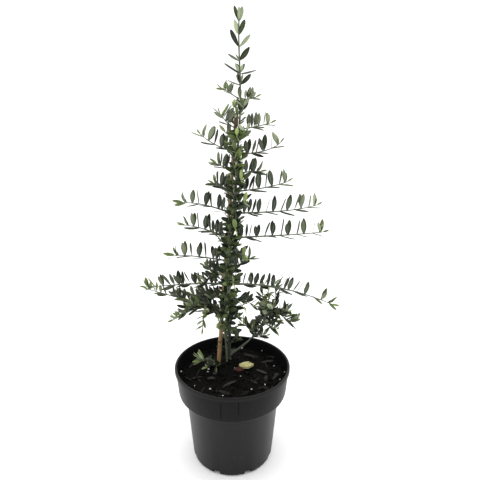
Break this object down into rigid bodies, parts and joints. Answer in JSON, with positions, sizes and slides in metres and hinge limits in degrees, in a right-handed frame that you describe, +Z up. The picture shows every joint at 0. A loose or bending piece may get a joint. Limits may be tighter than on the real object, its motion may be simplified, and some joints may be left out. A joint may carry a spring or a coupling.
{
  "type": "potted olive tree",
  "caption": "Young olive tree with a slim trunk, paired leafy side branches and a bamboo stake, growing in a round nursery pot filled with dark soil.",
  "frame": {"origin": "middle of the pot's flat underside, on the surface that the pot stands on", "axes": "+Z up along the pot's axis; +X to the right seen from the front, along the long low branches; +Y away from the viewer"},
  "size_m": [0.2888, 0.188, 0.6182],
  "materials": {
    "pot_plastic": "black moulded nursery-pot plastic, slightly glossy, with moulding streaks and dust",
    "soil": "dark damp potting mix of peat and fine bark, loose crumbs",
    "chip_pale": "weathered cream wood chip, dry and fibrous",
    "chip_brown": "red-brown bark chip, dry",
    "bamboo": "tan bamboo cane, satin, with darker rings at the knots",
    "bark": "smooth grey-green young bark with small lenticels; the leaves on the leader belong to it",
    "foliage": "leathery olive leaves, dark glossy green above, pale grey-green below, on grey-green stems",
    "foliage_inner": "leathery olive leaves in the shade of the crown, very dark green above, grey-green below",
    "foliage_young": "younger olive leaves, brighter yellow-green above, pale green below, on green stems"
  },
  "bodies": {
    "root": {"pot": "pot_plastic", "soil": "soil", "wood_chip_pale": "chip_pale", "wood_chip_brown": "chip_brown", "bamboo_stake": "bamboo", "trunk": "bark", "branch_0_left": "foliage", "branch_0_right": "foliage", "branch_1_left": "foliage", "branch_1_right": "foliage", "branch_2_left": "foliage", "branch_2_right": "foliage", "branch_3_left": "foliage", "branch_3_right": "foliage", "branch_4_left": "foliage", "branch_4_right": "foliage", "branch_5_left": "foliage", "branch_5_right": "foliage", "branch_6_left": "foliage", "branch_6_right": "foliage", "branch_7_left": "foliage", "branch_7_right": "foliage", "branch_8_left": "foliage", "branch_8_right": "foliage", "inner_0_front": "foliage_inner", "inner_0_back": "foliage_inner", "inner_1_front": "foliage_inner", "inner_1_back": "foliage_inner", "inner_2_front": "foliage_inner", "inner_2_back": "foliage_inner", "inner_3_front": "foliage_inner", "inner_3_back": "foliage_inner", "inner_4_front": "foliage_inner", "inner_4_back": "foliage_inner", "inner_5_front": "foliage_inner", "inner_5_back": "foliage_inner", "inner_6_front": "foliage_inner", "inner_6_back": "foliage_inner", "inner_7_front": "foliage_inner", "inner_7_back": "foliage_inner", "inner_8_front": "foliage_inner", "inner_8_back": "foliage_inner", "low_shoot_crown_left": "foliage", "low_shoot_long_left": "foliage", "low_shoot_back_left": "foliage", "low_shoot_front_left": "foliage", "low_shoot_thin_right": "foliage", "low_shoot_small_right": "foliage", "bush_stem": "foliage_young", "bush_shoot_up": "foliage_young", "bush_shoot_right": "foliage_young", "bush_shoot_front": "foliage_young", "bush_shoot_left": "foliage_young", "bush_shoot_back": "foliage_young", "low_shoot_hanging": "foliage_young", "basal_shoot": "foliage_young", "soil_sucker": "foliage_young"}
  },
  "joints": []
}
